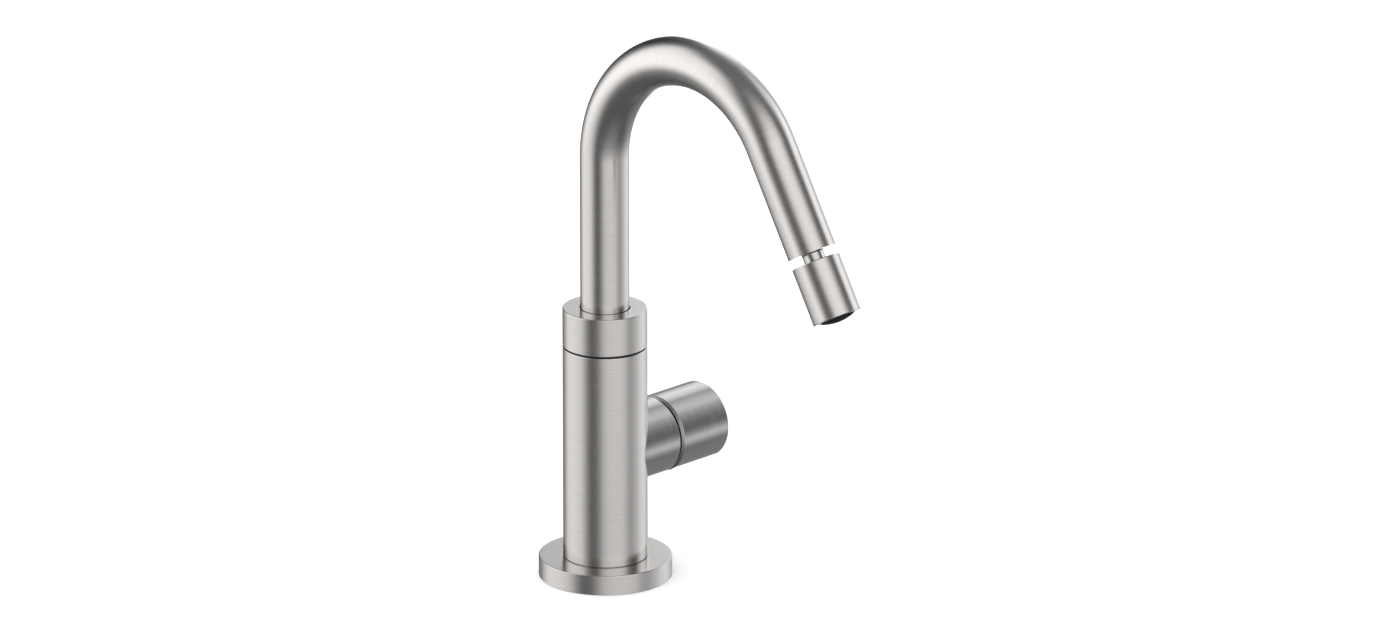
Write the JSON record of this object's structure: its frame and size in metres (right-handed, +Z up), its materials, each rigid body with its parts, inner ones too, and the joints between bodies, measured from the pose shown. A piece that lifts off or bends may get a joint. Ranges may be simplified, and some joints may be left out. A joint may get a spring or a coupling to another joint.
{
  "type": "bidet mixer tap",
  "caption": "Column bidet mixer with a round foot, a side knob, a swivelling swan-neck spout and a ball-jointed aerated outlet.",
  "frame": {"origin": "centre of the foot's underside, on the column's axis", "axes": "+Z up along the column, the spout points to -Y at rest and the knob's axis to +X"},
  "size_m": [0.0914, 0.1823, 0.2624],
  "materials": {
    "brushed_steel": "brushed satin",
    "screw_steel": "plain",
    "brass": "turned",
    "rubber": "matte",
    "black_plastic": "matte",
    "white_plastic": "satin",
    "disc_ceramic": "lapped"
  },
  "bodies": {
    "tap_body": {"base_flange": "brushed_steel", "deck_gasket": "rubber", "valve_body": "brushed_steel", "port_seals": "rubber", "cartridge_base": "white_plastic", "cartridge_housing": "white_plastic", "fixed_disc": "disc_ceramic", "retaining_nut": "brass", "swivel_washer": "black_plastic", "swivel_screw": "screw_steel"},
    "knob_set": {"cartridge_stem": "brass", "stem_o_ring": "rubber", "disc_carrier": "black_plastic", "moving_disc": "disc_ceramic", "knob": "brushed_steel", "knob_insert": "black_plastic", "insert_screw": "screw_steel", "knob_grub_screw": "screw_steel"},
    "spout": {"spout_collar": "brushed_steel", "spout_tube": "brushed_steel", "spout_spigot": "brass", "spigot_o_rings": "rubber", "guide_ring": "white_plastic", "outlet_plug": "brushed_steel", "plug_o_ring": "rubber", "ball_stud": "brushed_steel"},
    "liner": {"ball_liner": "white_plastic"},
    "outlet": {"outlet_barrel": "brushed_steel", "ball_retainer": "brushed_steel", "ball_seat": "white_plastic", "ball_seal": "rubber", "aerator_washer": "rubber", "flow_disc": "white_plastic", "aerator_screens": "screw_steel", "aerator_cage": "black_plastic"}
  },
  "joints": [
    {"name": "knob_turn", "type": "hinge", "parent": "tap_body", "child": "knob_set", "pos_m": [0, 0, 0.0582], "axis": [1, 0, 0], "range_deg": [0, 110]},
    {"name": "spout_swivel", "type": "hinge", "parent": "tap_body", "child": "spout", "pos_m": [0, 0, 0.1], "axis": [0, 0, 1], "range_deg": [-60, 60]},
    {"name": "outlet_tilt", "type": "hinge", "parent": "spout", "child": "liner", "pos_m": [0, -0.13313, 0.17117], "axis": [1, 0, 0], "range_deg": [-12, 12]},
    {"name": "outlet_side_tilt", "type": "hinge", "parent": "liner", "child": "outlet", "pos_m": [0, -0.13313, 0.17117], "axis": [0, -0.866, 0.5], "range_deg": [-12, 12]}
  ]
}
